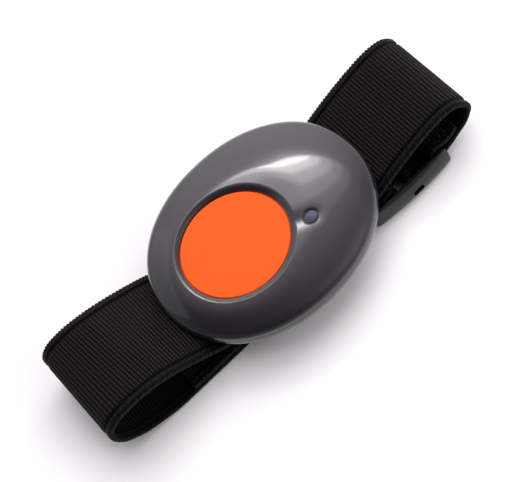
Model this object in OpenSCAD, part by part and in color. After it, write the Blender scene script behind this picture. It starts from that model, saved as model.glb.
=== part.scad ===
// Panic button wristband, millimetres, +Z up.
// The band lies flat on a table as it is photographed: X runs along the strap, Y across it.
// The origin is the middle of the band's footprint, on the table.

/* [Housing] */
// Length of the housing along the strap
case_l = 51; // [48:0.5:58]
// Width of the housing across the strap
case_w = 45.3; // [44:0.5:52]
// Squareness of the outline seen from above, 2 is an ellipse
case_power = 2.1; // [2:0.05:2.4]
// Height of the cover above the parting line
cover_h = 3.5; // [3.4:0.1:4.5]
// Squareness of the cover's crown seen from the side
cover_power = 2.8; // [2.4:0.1:3.4]
// Depth of the base shell below the parting line
base_h = 3.6; // [3.4:0.1:4.4]
// Squareness of the base shell's edge seen from the side
base_power = 4; // [3:0.5:5]
// Wall of both shells
case_wall = 1.5; // [1.3:0.1:1.7]
// Place of the housing along the band
case_x = 1.4; // [-3:0.1:3]

/* [Button] */
// Radius of the button's face
button_r = 11.9; // [9:0.1:12.4]
// Gap between the button and the cover
button_gap = 0.25; // [0.15:0.05:0.4]
// Thickness of the button
button_t = 1; // [0.8:0.1:1.2]
// Travel of the button when it is pressed
button_travel = 0.4; // [0.2:0.05:0.45]
// Place of the button along the housing, from its middle
button_x = -5.9; // [-7:0.1:-3]
// Width of the sloped lip around the button
lip_w = 0.9; // [0.6:0.1:1.4]
// Drop of the button's face below the lip
face_drop = 0.5; // [0.3:0.1:0.7]

/* [Indicator] */
// Radius of the indicator lens
lens_r = 1.35; // [1:0.05:1.8]
// Distance of the lens from the button's middle, along the strap
lens_dx = 14.6; // [14:0.1:16]
// Distance of the lens from the button's middle, across the strap
lens_dy = -8; // [-9:0.1:-7]

/* [Strap] */
// Width of the elastic strap
strap_w = 25; // [18:0.5:25.2]
// Thickness of the elastic strap
strap_t = 1.3; // [1:0.05:1.4]
// Length of the band as it lies flat
band_l = 98; // [94:0.2:110]
// Height of the left loop's middle line
left_top = 13; // [10:0.25:15]
// Height of the right loop's middle line
right_top = 11.5; // [10:0.25:14]
// Length of the free tail from the clamp bar
tail_l = 54.6; // [36:0.5:56]

/* [Buckle] */
// Length of the buckle along the strap
buckle_l = 20.4; // [20:0.2:21]
// Width of the buckle across the strap at its middle
buckle_w = 29.6; // [29.2:0.2:33]
// Height of the buckle
buckle_h = 4.8; // [4.6:0.1:5]
// Place of the buckle's middle along the band
buckle_x = 29.35; // [29:0.05:29.7]

/* [Strap plate] */
// Thickness of the plate that holds the strap under the housing
plate_t = 1; // [0.8:0.1:1.4]
// Length of the plate along the strap
plate_l = 31; // [28:0.5:33]
// Width of the plate across the strap
plate_w = 37.6; // [36:0.2:39]

/* [Electronics] */
// Thickness of the circuit board
board_t = 0.8; // [0.6:0.1:1]
// Diameter of the coin cell
cell_d = 20; // [16:0.5:20]
// Thickness of the coin cell
cell_t = 1.6; // [1.2:0.1:1.9]
// Side of the square key switch
switch_w = 6; // [4.5:0.1:6.2]

/* [Hidden] */
$fn = 64;

// Overrun of cuts past the faces that they open
cut = 1;
// Points around the housing's outline, and rings up its crown and its bowl
outline_points = 64;
crown_rings = 10;
bowl_rings = 7;

// Heights from the table up
layer_gap = 0.05;
plate_clear = 0.1;
strap_clear = 0.15;
floor_t = 1;
run_z = strap_t / 2;
tail_z = run_z + strap_t + layer_gap;
plate_z = 2 * strap_t + layer_gap + plate_clear;
channel_z = plate_z + plate_t;
channel_mid = channel_z + strap_clear + strap_t / 2;
roof_z = channel_z + strap_t + 2 * strap_clear;
split_z = roof_z + base_h;
lip_rise_share = 0.92;
lip_z = split_z + cover_h * lip_rise_share;
face_z = lip_z - face_drop;
button_z = face_z - button_t;

// The button and what guides it
button_at = [case_x + button_x, 0, 0];
button_edge = 0.35;
flange_w = 1;
flange_t = 0.5;
flange_clear = 0.25;
seat_gap = 0.05;
nub_r = 2;
nub_h = 0.4;
hole_r = button_r + button_gap;
pocket_r = button_r + flange_w + flange_clear;
lip_drop = 0.5;
plateau_ease = 3;
plateau_in = hole_r + lip_w + button_gap;
plateau_out = plateau_in + plateau_ease;

// The indicator lens and its shallow recess
lens_at = [button_at[0] + lens_dx, lens_dy, 0];
lens_gap = 0.08;
lens_ring_w = 0.65;
lens_recess_r = lens_r + lens_ring_w;
lens_recess = 0.3;
lens_flange_w = 0.6;
lens_flange_t = 0.4;
lens_stem_r = 1;
neck_r = 3.6;
neck_depth = 0.3;

// The strap's channel through the base shell
strap_side = 0.6;
channel_w = strap_w + 2 * strap_side;
channel_wall = 0.9;
rail_r = 2.1;
screw_y = channel_w / 2 + rail_r;
screw_x_shares = [-0.204, 0.235];

// The seal in the parting line
seal_w = 0.55;
seal_h = 0.8;
seal_in = 0.5;
seal_gap = 0.04;

// The circuit board and what stands on it
board_gap = 0.35;
board_z = roof_z + floor_t + board_gap;
board_top = board_z + board_t;
board_side = 0.1;
board_depth_share = (split_z + seal_gap - board_z) / (base_h - floor_t);
board_share = pow(1 - pow(board_depth_share, base_power), 1 / base_power);
board_l = (case_l - 2 * case_wall) * board_share - 2 * board_side;
board_w = (case_w - 2 * case_wall) * board_share - 2 * board_side;
board_end_shares = [-0.349, 0.286];
board_notch = 0.35;
post_r = 1.6;
post_at_shares = [[-0.27, 0.2], [0.24, -0.23]];
switch_h = 2.1;
switch_top = board_top + switch_h;
plunger_r = 1.75;
plunger_gap = 0.05;
plunger_deep = 1.3;
ring_wall = 0.6;
holder_floor = 0.25;
holder_wall = 0.4;
holder_gap = 0.1;
holder_r = cell_d / 2 + holder_gap + holder_wall;
led_h = 0.8;
led_l = 2;
led_w = 1.25;
holder_clear = 0.3;
led_clear = 0.675;
cell_at = [button_at[0] + switch_w / 2 + holder_clear + holder_r,
    lens_dy + led_w / 2 + led_clear + holder_r, 0];
contact_t = 0.2;
cell_gap = 0.05;
cell_z = board_top + holder_floor + contact_t + cell_gap;
cell_top = cell_z + cell_t;

// Screws
shank_r = 0.8;
head_r = 1.5;
head_h = 0.7;
screw_gap = 0.15;
pilot_gap = 0.05;
boss_r = 1.5;
screw_l = 7.4;
pilot_over = 0.3;
board_screw_r = 0.6;
board_screw_l = 1.5;
board_head_r = 1.1;
board_head_h = 0.45;
drive_share = 0.55;

// The buckle's bars, pin and lever
buckle_left = buckle_x - buckle_l / 2;
buckle_bulge = 0.9;
buckle_corner_power = 20;
buckle_edge = 0.8;
strap_play = 0.5;
buckle_inner = strap_w + 2 * strap_play;
bar_r = 0.85;
bar_root = 0.25;
wrap_gap = 0.15;
wrap_r = bar_r + wrap_gap + strap_t / 2;
clamp_bar_in = 5.45;
clamp_bar_x = buckle_left + clamp_bar_in;
clamp_bar_z = 2.95;
end_bar_in = 1.55;
end_bar_x = buckle_left + buckle_l - end_bar_in;
end_bar_z = 3.4;
keeper_l = 1.2;
keeper_h = 0.75;
keeper_drop = 0.3;
keeper_in = 0.35;
keeper_x = buckle_left + keeper_in;
pin_from_bar = 5.5;
pin_x = clamp_bar_x + pin_from_bar;
pin_z = 3;
pin_r = 0.6;
pin_gap = 0.03;
pin_l = 27.4;
lever_gap = 0.05;
hub_r = 1.5;
lever_side = 0.7;
lever_z = 0.1;
lever_t = 0.8;
lever_w = buckle_inner - 2 * lever_side;
lever_end = 1.1;
web_l = 1.9;
tooth_gap = 0.3;
tooth_w = 1.2;
tooth_pitch = 2.4;
tooth_count = 9;
tooth_h = 1.6;
slot_l = 2.8;
slot_h = 1.7;
slot_z = 2;
slot_deep = 0.9;
grip_r = 0.3;
grip_pitch = 0.9;
grip_count = 3;

// The middle line of the strap, as shares of the band's half length and of the loops' heights
band_half = band_l / 2 - strap_t / 2;
left_edge_share = 0.5047;
right_edge_share = 0.5634;
left_rise_shares = [[0.23, 0], [0.293, 0], [0.356, 0.012], [0.419, 0.097], [0.53, 0.44], [0.685, 0.83],
    [0.817, 1]];
left_fall_shares = [[0.928, 0.985], [0.9885, 0.84], [1, 0.651], [0.982, 0.453], [0.94, 0.289],
    [0.869, 0.142], [0.764, 0.034], [0.71, 0.006], [0.67, 0], [0.62, 0]];
right_rise_shares = [[0.2, 0], [0.252, 0], [0.335, 0.02], [0.419, 0.14], [0.503, 0.34], [0.593, 0.565],
    [0.672, 0.73], [0.777, 0.906], [0.875, 1]];
right_fall_shares = [[0.951, 0.935], [0.991, 0.737], [0.9975, 0.566], [0.956, 0.333], [0.888, 0.172],
    [0.84, 0.075]];
run_shares = [0, 0.5, 0.8];
lap_reach_share = 0.57;
lap_l = lap_reach_share * (band_half - end_bar_x);
lap_shares = [[0.34, -0.2], [0.66, -0.06], [1, 0.68]];
lead_in_shares = [[2.6, 0.12], [1.7, 0.45], [0.8, 0.85]];
fall_lead_shares = [0.45, 0.2];
tail_shares = [[0.04, 0.67], [0.079, 0.27], [0.12, 0.045], [0.167, 0]];
wrap_step = 30;
line_steps = 3;

// Colours
shell_grey = [0.3, 0.3, 0.33];
orange = [1, 0.4, 0.2];
rubber_black = [0.1, 0.1, 0.1];
strap_black = [0.08, 0.08, 0.09];
plastic_black = [0.13, 0.13, 0.14];
lens_violet = [0.36, 0.35, 0.43];
board_green = [0.1, 0.35, 0.2];
steel = [0.75, 0.76, 0.78];
brass = [0.8, 0.66, 0.35];
chip_black = [0.12, 0.12, 0.13];
cream = [0.85, 0.82, 0.72];

// Helpers for outlines and curves

function sign_of(v) = v < 0 ? -1 : 1;

function outline_at(a, b, t) = [
    a * sign_of(cos(t)) * pow(abs(cos(t)), 2 / case_power),
    b * sign_of(sin(t)) * pow(abs(sin(t)), 2 / case_power)];

function outline(a, b) = [for (i = [0:outline_points - 1]) outline_at(a, b, 360 * i / outline_points)];

// How far a point lies out from the middle, as a share of the way to the outline
function reach(x, y, a, b) = pow(pow(abs(x) / a, case_power) + pow(abs(y) / b, case_power), 1 / case_power);

function smooth_step(v) = let (t = max(0, min(1, v))) t * t * (3 - 2 * t);

function crown_rise(r, h) = h * pow(max(0, 1 - pow(min(1, r), cover_power)), 1 / cover_power);

// Height of the cover's outside: the crown, levelled to the lip near the button
function cover_rise(x, y) =
    let (r = reach(x, y, case_l / 2, case_w / 2))
    let (d = norm([x - button_x, y]))
    let (k = smooth_step((plateau_out - d) / (plateau_out - plateau_in)))
    crown_rise(r, cover_h) * (1 - k) + cover_h * lip_rise_share * k;

// A closed bowl or crown of rings from the outline to one last point
module ringed_solid(rings, tip) {
    n = outline_points;
    m = len(rings);
    points = concat([for (ring = rings) each ring], [tip]);
    sides = [for (j = [0:m - 2]) for (i = [0:n - 1]) let (k = (i + 1) % n) each [
        [j * n + i, j * n + k, (j + 1) * n + k],
        [j * n + i, (j + 1) * n + k, (j + 1) * n + i]]];
    cap = [for (i = [0:n - 1]) [(m - 1) * n + i, (m - 1) * n + (i + 1) % n, m * n]];
    foot = [[for (i = [n - 1:-1:0]) i]];
    turned = tip[2] > rings[0][0][2];
    faces = concat(sides, cap, foot);
    polyhedron(points, turned ? [for (f = faces) [for (i = [len(f) - 1:-1:0]) f[i]]] : faces);
}

module crown_outside() {
    rings = [for (j = [0:crown_rings - 1]) let (r = pow(cos(90 * j / crown_rings), 2 / cover_power))
        [for (p = outline(case_l / 2 * r, case_w / 2 * r)) [p[0], p[1], j == 0 ? 0 : cover_rise(p[0], p[1])]]];
    translate([case_x, 0, split_z]) ringed_solid(rings, [0, 0, cover_rise(0, 0)]);
}

module crown_inside() {
    a = case_l / 2 - case_wall;
    b = case_w / 2 - case_wall;
    h = cover_h - case_wall;
    rings = [for (j = [0:crown_rings - 1]) let (q = 90 * j / crown_rings)
        [for (p = outline(a * pow(cos(q), 2 / cover_power), b * pow(cos(q), 2 / cover_power)))
            [p[0], p[1], h * pow(sin(q), 2 / cover_power)]]];
    translate([case_x, 0, split_z]) ringed_solid(rings, [0, 0, h]);
}

module bowl(inset, depth) {
    a = case_l / 2 - inset;
    b = case_w / 2 - inset;
    rings = [for (j = [0:bowl_rings - 1]) let (q = 90 * j / bowl_rings)
        [for (p = outline(a * pow(cos(q), 2 / base_power), b * pow(cos(q), 2 / base_power)))
            [p[0], p[1], -depth * pow(sin(q), 2 / base_power)]]];
    translate([case_x, 0, split_z]) ringed_solid(rings, [0, 0, -depth]);
}

module outline_ring(inset, width, height) {
    difference() {
        linear_extrude(height) polygon(outline(case_l / 2 - inset, case_w / 2 - inset));
        translate([0, 0, -cut]) linear_extrude(height + 2 * cut)
            polygon(outline(case_l / 2 - inset - width, case_w / 2 - inset - width));
    }
}

// A smooth line through hand-chosen points
function spline(a, b, c, d, t) = 0.5 * ((2 * b) + (c - a) * t + (2 * a - 5 * b + 4 * c - d) * t * t
    + (3 * b - a - 3 * c + d) * t * t * t);

function smooth_line(p) = let (n = len(p)) concat(
    [for (i = [0:n - 2]) for (s = [0:line_steps - 1])
        spline(p[max(0, i - 1)], p[i], p[i + 1], p[min(n - 1, i + 2)], s / line_steps)],
    [p[n - 1]]);

function normal_at(p, i) = let (n = len(p))
    let (d = p[min(n - 1, i + 1)] - p[max(0, i - 1)]) [-d[1], d[0]] / norm(d);

function beside(p, off) = [for (i = [0:len(p) - 1]) p[i] + normal_at(p, i) * off];

function reversed(p) = [for (i = [len(p) - 1:-1:0]) p[i]];

function wrap_arc(x, z, from, to, step) = [for (t = [from:step:to]) [x + wrap_r * cos(t), z + wrap_r * sin(t)]];

module across(w) {
    translate([0, w / 2, 0]) rotate([90, 0, 0]) linear_extrude(w) children();
}

// A place along the band, so that the strap keeps clear of the housing's edge as it rises past it
function along(s, edge, edge_share) = s < edge_share ? s / edge_share * edge
    : edge + (s - edge_share) / (1 - edge_share) * (band_half - edge);
function to_left(s) = -along(s, case_l / 2 - case_x, left_edge_share);
function to_right(s) = along(s, case_l / 2 + case_x, right_edge_share);

// The strap's middle line, from its sewn end through both loops to the free tail

end_wrap_top = end_bar_z + wrap_r;
end_wrap_low = end_bar_z - wrap_r;
clamp_wrap_top = clamp_bar_z + wrap_r;

sewn_end = reversed([for (s = lap_shares) [end_bar_x + s[0] * lap_l, end_wrap_top + s[1] * strap_t]]);
end_wrap = wrap_arc(end_bar_x, end_bar_z, 90, 270, wrap_step);
right_fall = reversed([for (s = right_fall_shares)
    [to_right(s[0]), end_wrap_low + s[1] * (right_top - end_wrap_low)]]);
end_lead = [for (i = [0, 1]) [end_bar_x, end_wrap_low][i]
    + fall_lead_shares[i] * (right_fall[0] - [end_bar_x, end_wrap_low])[i]];
right_rise = reversed([for (s = right_rise_shares)
    [to_right(s[0]), channel_mid + s[1] * (right_top - channel_mid)]]);
left_rise = [for (s = left_rise_shares) [to_left(s[0]), channel_mid + s[1] * (left_top - channel_mid)]];
left_fall = [for (s = left_fall_shares) [to_left(s[0]), run_z + s[1] * (left_top - run_z)]];
bottom_run = [[-band_half / 3, run_z], for (s = run_shares) [s * buckle_left, run_z],
    [buckle_left - strap_t, run_z],
    for (s = lead_in_shares) [clamp_bar_x - s[0] * wrap_r, run_z + s[1] * (clamp_bar_z - wrap_r - run_z)]];
clamp_wrap = wrap_arc(clamp_bar_x, clamp_bar_z, -90, 90, wrap_step);
tail = concat([for (s = tail_shares)
    [clamp_bar_x - s[0] * tail_l, tail_z + s[1] * (clamp_wrap_top - tail_z)]],
    [[clamp_bar_x - tail_l / 2, tail_z], [clamp_bar_x - tail_l, tail_z]]);

strap_line = smooth_line(concat(sewn_end, end_wrap, [end_lead], right_fall, right_rise, left_rise, left_fall,
    bottom_run, clamp_wrap, tail));

// The strap's line under the housing, left to right, which the channel follows
channel_line = smooth_line(concat(
    reversed([for (s = left_rise_shares) if (s[0] < 0.6)
        [to_left(s[0]), channel_mid + s[1] * (left_top - channel_mid)]]),
    [for (s = right_rise_shares) if (s[0] < 0.7)
        [to_right(s[0]), channel_mid + s[1] * (right_top - channel_mid)]]));

module channel_block(above, width) {
    top = beside(channel_line, strap_t / 2 + strap_clear + above);
    last = len(top) - 1;
    across(width) polygon(concat(top, [[top[last][0], 0], [top[0][0], 0]]));
}

module at_screws() {
    for (x = [for (s = screw_x_shares) case_x + s * case_l]) for (y = [-screw_y, screw_y])
        translate([x, y, 0]) children();
}

module at_posts() {
    for (s = post_at_shares) translate([case_x + s[0] * case_l, s[1] * case_w, 0]) children();
}

// Housing

module top_cover() {
    lens_z = split_z + cover_rise(lens_at[0] - case_x, lens_at[1]);
    neck_turn = atan2(lens_dy, lens_dx);
    color(shell_grey) difference() {
        crown_outside();
        difference() {
            translate([0, 0, -seal_gap]) crown_inside();
            at_screws() translate([0, 0, split_z]) cylinder(r = boss_r, h = cover_h);
        }
        translate([case_x, 0, split_z - cut]) outline_ring(seal_in - seal_gap, seal_w + 2 * seal_gap,
            cut + seal_h / 2 + seal_gap);
        translate(button_at) {
            cylinder(r = hole_r, h = lip_z + cut);
            translate([0, 0, split_z]) cylinder(r = pocket_r, h = button_z + flange_t + seat_gap - split_z);
            rotate_extrude() polygon([[0, lip_z - lip_drop], [hole_r, lip_z - lip_drop],
                [hole_r + lip_w, lip_z], [hole_r + lip_w + cut, lip_z + cut], [0, lip_z + cut]]);
            rotate([0, 90, neck_turn]) translate([-lens_z - neck_r + neck_depth, 0, hole_r])
                cylinder(r = neck_r, h = norm([lens_dx, lens_dy]) - hole_r);
        }
        translate(lens_at) {
            translate([0, 0, split_z]) cylinder(r = lens_r + lens_gap, h = cover_h + cut);
            translate([0, 0, lens_z - lens_recess]) cylinder(r = lens_recess_r, h = cut);
        }
        at_screws() translate([0, 0, split_z - cut]) cylinder(r = shank_r + pilot_gap,
            h = cut + plate_z + screw_l + pilot_over - split_z);
    }
}

module base_shell() {
    color(shell_grey) difference() {
        union() {
            bowl(0, base_h);
            for (y = [-screw_y, screw_y]) rail(y);
        }
        difference() {
            translate([0, 0, seal_gap]) bowl(case_wall, base_h - floor_t);
            channel_block(channel_wall, channel_w + 2 * channel_wall);
            at_screws() translate([0, 0, roof_z]) cylinder(r = boss_r, h = base_h);
            at_posts() translate([0, 0, roof_z]) cylinder(r = post_r, h = board_z - roof_z);
        }
        difference() {
            channel_block(0, channel_w);
            translate([case_x - case_l, -case_w, -cut]) cube([2 * case_l, 2 * case_w, channel_z - strap_clear]);
        }
        translate([case_x, 0, split_z - seal_h / 2 - seal_gap]) outline_ring(seal_in - seal_gap,
            seal_w + 2 * seal_gap, seal_h);
        at_screws() cylinder(r = shank_r + screw_gap, h = split_z + cut);
        at_posts() translate([0, 0, board_top - board_screw_l - pilot_gap])
            cylinder(r = board_screw_r + pilot_gap, h = board_t + board_screw_l);
    }
}

// One of the two straight rails that carry the strap plate
module rail(y) {
    from = case_x + screw_x_shares[0] * case_l;
    to = case_x + screw_x_shares[1] * case_l;
    h = roof_z - channel_z + floor_t;
    translate([0, 0, channel_z]) {
        translate([from, y, 0]) cylinder(r = rail_r, h = h);
        translate([to, y, 0]) cylinder(r = rail_r, h = h);
        translate([from, y - rail_r, 0]) cube([to - from, 2 * rail_r, h]);
    }
}

module case_seal() {
    color(rubber_black) translate([case_x, 0, split_z - seal_h / 2]) outline_ring(seal_in, seal_w, seal_h);
}

module button_cap() {
    color(orange) translate(button_at) {
        rotate_extrude() polygon([[0, button_z], [button_r + flange_w, button_z],
            [button_r + flange_w, button_z + flange_t], [button_r, button_z + flange_t],
            for (t = [0:15:90]) [button_r - button_edge * (1 - cos(t)), face_z - button_edge * (1 - sin(t))],
            [0, face_z]]);
        translate([0, 0, button_z - nub_h]) cylinder(r = nub_r, h = nub_h);
    }
}

module return_ring() {
    color(rubber_black) translate([button_at[0], 0, switch_top]) difference() {
        cylinder(r = nub_r + 2 * button_gap + ring_wall, h = button_z - switch_top);
        translate([0, 0, -cut]) cylinder(r = nub_r + 2 * button_gap, h = button_z - switch_top + 2 * cut);
    }
}

module indicator_lens() {
    lens_z = split_z + cover_rise(lens_at[0] - case_x, lens_at[1]) - lens_recess / 2;
    under = split_z + crown_rise(reach(lens_at[0] - case_x, lens_at[1],
        case_l / 2 - case_wall, case_w / 2 - case_wall), cover_h - case_wall) - 2 * lens_flange_t;
    led_top = board_top + led_h;
    color(lens_violet) translate(lens_at) {
        translate([0, 0, led_top + lens_gap]) cylinder(r = lens_stem_r, h = under - led_top);
        translate([0, 0, under]) cylinder(r = lens_r + lens_flange_w, h = lens_flange_t);
        translate([0, 0, under]) cylinder(r = lens_r, h = lens_z - under);
    }
}

// Electronics

module circuit_board() {
    color(board_green) difference() {
        intersection() {
            translate([case_x, 0, board_z]) linear_extrude(board_t) polygon(outline(board_l / 2, board_w / 2));
            translate([case_x + board_end_shares[0] * case_l, -board_w, board_z])
                cube([(board_end_shares[1] - board_end_shares[0]) * case_l, 2 * board_w, board_t]);
        }
        at_screws() translate([0, 0, board_z - cut]) cylinder(r = boss_r + board_notch, h = board_t + 2 * cut);
        at_posts() translate([0, 0, board_z - cut])
            cylinder(r = board_screw_r + screw_gap, h = board_t + 2 * cut);
    }
}

module key_switch() {
    color(steel) translate([button_at[0], 0, board_top]) difference() {
        translate([-switch_w / 2, -switch_w / 2, 0]) cube([switch_w, switch_w, switch_h]);
        translate([0, 0, switch_h - plunger_deep - button_travel])
            cylinder(r = plunger_r + plunger_gap, h = switch_h);
    }
}

module switch_plunger() {
    top = button_z - nub_h;
    color(chip_black) translate([button_at[0], 0, switch_top - plunger_deep + plunger_gap])
        cylinder(r = plunger_r, h = top - switch_top + plunger_deep - plunger_gap);
}

module indicator_led() {
    color(cream) translate([lens_at[0] - led_l / 2, lens_at[1] - led_w / 2, board_top])
        cube([led_l, led_w, led_h]);
}

module coin_cell() {
    step_h = 0.35;
    step_w = 1.1;
    color(steel) translate([cell_at[0], cell_at[1], cell_z]) {
        cylinder(r = cell_d / 2 - step_w, h = step_h);
        translate([0, 0, step_h]) cylinder(r = cell_d / 2, h = cell_t - step_h);
    }
}

module cell_holder() {
    rim_share = 0.8;
    rim = cell_t * rim_share;
    color(plastic_black) translate([cell_at[0], cell_at[1], board_top]) difference() {
        cylinder(r = holder_r, h = holder_floor + rim);
        translate([0, 0, holder_floor]) cylinder(r = holder_r - holder_wall, h = rim + cut);
    }
}

contact_w = 3.6;
contact_shift = 0.3;
contact_x = cell_at[0] - contact_shift;
contact_out = holder_r + holder_gap;

module positive_contact() {
    reach_in = 8.6;
    foot_l = 0.8;
    top = cell_top + cell_gap;
    color(brass) translate([contact_x - contact_w / 2, cell_at[1] + contact_out, 0]) {
        translate([0, contact_t - reach_in, top]) cube([contact_w, reach_in, contact_t]);
        translate([0, 0, board_top]) cube([contact_w, contact_t, top + contact_t - board_top]);
        translate([0, 0, board_top]) cube([contact_w, foot_l, contact_t]);
    }
}

module negative_contact() {
    length = 14;
    color(brass) translate([cell_at[0] - length / 2, cell_at[1] - contact_w / 2, board_top + holder_floor])
        cube([length, contact_w, contact_t]);
}

module antenna() {
    place_share = 0.306;
    strip_t = 0.5;
    strip_h = 1.6;
    end_clear_angle = 6.3;
    arc_angle = 2 * (atan2(post_at_shares[0][1] * case_w, -post_at_shares[0][0] * case_l) - end_clear_angle);
    color(brass) translate([case_x, 0, board_top]) rotate([0, 0, 180 - arc_angle / 2])
        rotate_extrude(angle = arc_angle) translate([place_share * case_l, 0]) square([strip_t, strip_h]);
}

module chip(x, y, l, w, h) {
    translate([button_at[0] + x - l / 2, y - w / 2, board_top]) cube([l, w, h]);
}

chip_h = 0.9;

module radio_chip() {
    side = 4;
    color(chip_black) chip(-switch_w, -side, side, side, chip_h);
}

module controller_chip() {
    side = 5;
    color(chip_black) chip(-switch_w / 2 - side / 4, switch_w / 2 + side / 2 + small_w, side, side, chip_h);
}

module crystal() {
    length = 3.2;
    width = 2.5;
    color(steel) chip(-length / 2, -switch_w / 2 - width, length, width, chip_h);
}

module buzzer() {
    side = 5;
    tall = 1.8;
    color(plastic_black) chip(switch_w, -switch_w / 2 - side, side, side, tall);
}

small_l = 1;
small_w = 0.5;
small_pitch = 1.5;

module capacitors() {
    count = 6;
    row_y = 11.6;
    color(cream) for (i = [0:count - 1])
        chip(-small_pitch * (i - 1), -row_y, small_w, small_l, small_w);
}

module resistors() {
    count = 6;
    row_y = 12.4;
    color(chip_black) for (i = [0:count - 1])
        chip(-small_pitch * (i + 1 / 2) + small_pitch, row_y, small_w, small_l, small_w / 2);
}

// A screw with a slotted head, pointing up
module screw(r, length, top_r, top_h) {
    difference() {
        union() {
            cylinder(r = top_r, h = top_h);
            cylinder(r = r, h = length);
        }
        translate([-top_r, -r * drive_share / 2, -cut]) cube([2 * top_r, r * drive_share, cut + top_h * drive_share]);
    }
}

module board_screws() {
    color(steel) at_posts() translate([0, 0, board_top + board_head_h]) mirror([0, 0, 1])
        screw(board_screw_r, board_screw_l + board_head_h, board_head_r, board_head_h);
}

// Strap plate and the screws that hold it, the base and the cover together

module strap_plate() {
    plate_clear_r = head_r + screw_gap;
    color(shell_grey) translate([0, 0, plate_z]) difference() {
        translate([case_x, 0, 0]) linear_extrude(plate_t) polygon(outline(plate_l / 2, plate_w / 2));
        at_screws() {
            translate([0, 0, -cut]) cylinder(r = shank_r + screw_gap, h = plate_t + 2 * cut);
            translate([0, 0, -cut]) cylinder(r = plate_clear_r, h = cut + head_h);
        }
    }
}

module case_screws() {
    color(steel) at_screws() translate([0, 0, plate_z]) screw(shank_r, screw_l, head_r, head_h);
}

// Strap

module elastic_strap() {
    color(strap_black) across(strap_w)
        polygon(concat(beside(strap_line, strap_t / 2), reversed(beside(strap_line, -strap_t / 2))));
}

// Buckle

// Half width of the buckle at a share of its half length: bulged sides and rounded corners
function buckle_side(s) = (buckle_w / 2 - buckle_bulge * s * s)
    * pow(max(0, 1 - pow(abs(s), buckle_corner_power)), 1 / buckle_corner_power);

function buckle_outline() = concat(
    [for (t = [-90:10:80]) [buckle_l / 2 * sin(t), -buckle_side(sin(t))]],
    [for (t = [90:-10:-80]) [buckle_l / 2 * sin(t), buckle_side(sin(t))]]);

// A flat octagon, the section of the buckle with its edges taken off
function eased(w) = [[-w, buckle_edge], [buckle_edge - w, 0], [w - buckle_edge, 0], [w, buckle_edge],
    [w, buckle_h - buckle_edge], [w - buckle_edge, buckle_h], [buckle_edge - w, buckle_h],
    [-w, buckle_h - buckle_edge]];

module buckle_block() {
    translate([buckle_x, 0, 0]) intersection() {
        linear_extrude(buckle_h) polygon(buckle_outline());
        across(buckle_w) polygon(eased(buckle_l / 2));
        translate([-buckle_l / 2, 0, 0]) rotate([90, 0, 90]) linear_extrude(buckle_l)
            polygon(eased(buckle_w / 2));
    }
}

module y_bar(r, x, z, w) {
    translate([x, w / 2, z]) rotate([90, 0, 0]) cylinder(r = r, h = w);
}

module buckle_frame() {
    bar_w = buckle_inner + 2 * bar_root;
    color(plastic_black) difference() {
        union() {
            difference() {
                buckle_block();
                translate([buckle_left - cut, -buckle_inner / 2, -cut])
                    cube([buckle_l + 2 * cut, buckle_inner, buckle_h + 2 * cut]);
            }
            y_bar(bar_r, clamp_bar_x, clamp_bar_z, bar_w);
            y_bar(bar_r, end_bar_x, end_bar_z, bar_w);
            translate([keeper_x, -bar_w / 2, buckle_h - keeper_drop - keeper_h])
                cube([keeper_l, bar_w, keeper_h]);
        }
        y_bar(pin_r + pin_gap, pin_x, pin_z, pin_l);
        for (side = [-1, 1])
            translate([pin_x - slot_l / 2, side * buckle_w / 2 - slot_deep, slot_z - slot_h / 2])
                cube([slot_l, 2 * slot_deep, slot_h]);
    }
}

module hinge_pin() {
    color(steel) y_bar(pin_r, pin_x, pin_z, pin_l - 2 * pin_gap);
}

module clamp_lever() {
    tip = pin_x - clamp_bar_x - wrap_r - strap_t / 2 - tooth_gap;
    color(plastic_black) difference() {
        union() {
            y_bar(hub_r, pin_x, pin_z, lever_w);
            translate([pin_x - web_l / 2, -lever_w / 2, lever_z]) cube([web_l, lever_w, pin_z - lever_z]);
            translate([pin_x - web_l / 2, -lever_w / 2, lever_z])
                cube([end_bar_x + lever_end + web_l / 2 - pin_x, lever_w, lever_t]);
            for (i = [0:tooth_count - 1])
                translate([0, (i - (tooth_count - 1) / 2) * tooth_pitch, 0]) across(tooth_w)
                    polygon([[pin_x, pin_z + tooth_h / 2], [pin_x - tip, pin_z], [pin_x, pin_z - tooth_h / 2]]);
        }
        y_bar(pin_r + lever_gap, pin_x, pin_z, lever_w + 2 * cut);
        for (i = [0:grip_count - 1])
            y_bar(grip_r, end_bar_x + lever_end - grip_pitch * (i + 1), lever_z, lever_w + 2 * cut);
    }
}

top_cover();
base_shell();
case_seal();
button_cap();
return_ring();
indicator_lens();
circuit_board();
key_switch();
switch_plunger();
indicator_led();
coin_cell();
cell_holder();
positive_contact();
negative_contact();
antenna();
radio_chip();
controller_chip();
crystal();
buzzer();
capacitors();
resistors();
board_screws();
strap_plate();
case_screws();
elastic_strap();
buckle_frame();
clamp_lever();
hinge_pin();
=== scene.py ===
import math

import bmesh
import bpy
import numpy as np
from mathutils import Matrix, Vector


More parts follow.
